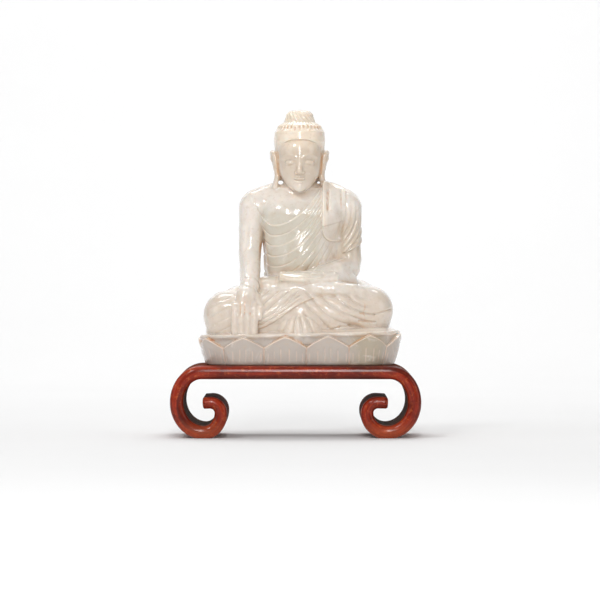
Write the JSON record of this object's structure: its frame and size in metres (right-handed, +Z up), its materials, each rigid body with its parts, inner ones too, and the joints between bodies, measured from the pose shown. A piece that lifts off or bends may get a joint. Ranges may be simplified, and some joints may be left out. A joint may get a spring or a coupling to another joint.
{
  "type": "jade buddha statue",
  "caption": "Seated Buddha and lotus throne carved from one block of pale jade, one hand touching the earth, resting on a dark hardwood stand with scrolled ends.",
  "frame": {"origin": "on the table, under the middle of the stand", "axes": "+Z up, the figure faces -Y, +X to the viewer's right"},
  "size_m": [0.189, 0.097, 0.2481],
  "materials": {
    "jade": "polished, translucent",
    "hardwood": "waxed satin"
  },
  "bodies": {
    "root": {"jade_buddha": "jade", "scroll_stand": "hardwood"}
  },
  "joints": []
}
